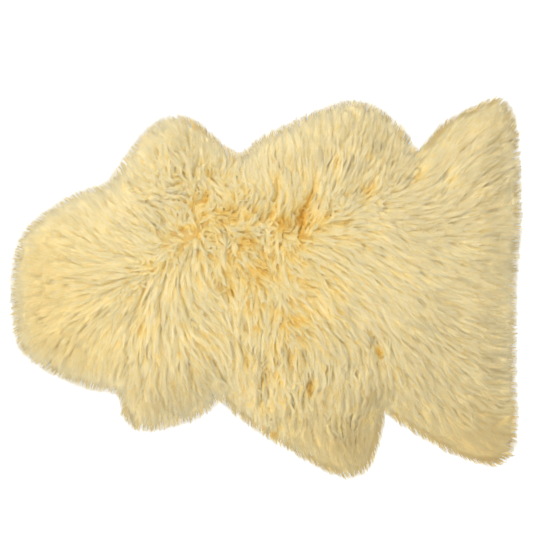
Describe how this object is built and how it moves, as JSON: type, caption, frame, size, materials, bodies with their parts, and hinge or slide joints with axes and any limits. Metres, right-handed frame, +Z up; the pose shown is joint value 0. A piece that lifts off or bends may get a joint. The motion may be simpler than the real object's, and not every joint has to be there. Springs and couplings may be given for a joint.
{
  "type": "sheepskin rug",
  "caption": "Whole sheepskin rug laid flat, wool side up: a thin tanned hide under a lumpy long-wool fleece with tapered locks round its rim.",
  "frame": {"origin": "on the floor under the middle of the rug's length and width", "axes": "+X from neck to rump along the rug's length, +Y towards the far flank, +Z up out of the wool"},
  "size_m": [0.95, 0.705, 0.0501],
  "materials": {
    "hide": "matte",
    "wool": "matte"
  },
  "bodies": {
    "root": {"hide": "hide", "fleece": "wool"}
  },
  "joints": []
}
